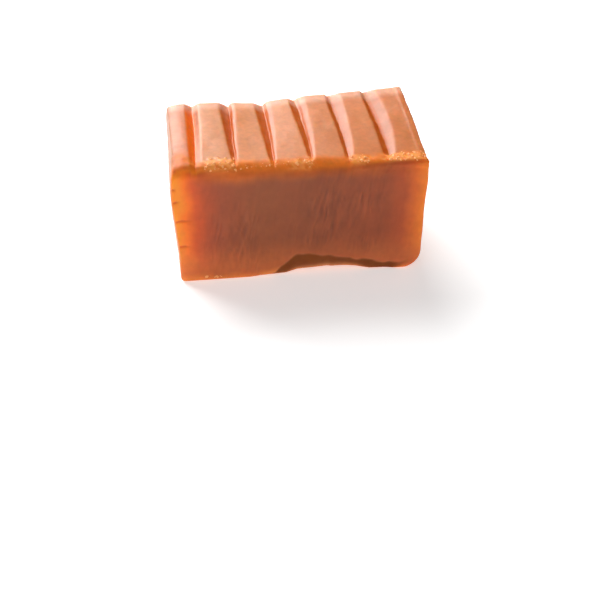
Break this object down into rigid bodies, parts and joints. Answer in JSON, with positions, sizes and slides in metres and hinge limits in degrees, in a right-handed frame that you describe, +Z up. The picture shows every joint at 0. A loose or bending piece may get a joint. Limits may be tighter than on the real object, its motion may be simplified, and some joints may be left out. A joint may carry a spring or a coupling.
{
  "type": "caramel candy",
  "caption": "Soft caramel candy: an oblong block with cut faces front and back, ribs across its top and softly bulging ends.",
  "frame": {"origin": "centre of the candy's bounding box, on the plane it rests on", "axes": "+X along the length, from the left end to the right end; +Y from the front cut face to the back cut face, along the ribs; +Z up, out of the ribbed top"},
  "size_m": [0.029, 0.0152, 0.0162],
  "materials": {
    "caramel": "satin"
  },
  "bodies": {
    "root": {"caramel": "caramel"}
  },
  "joints": []
}
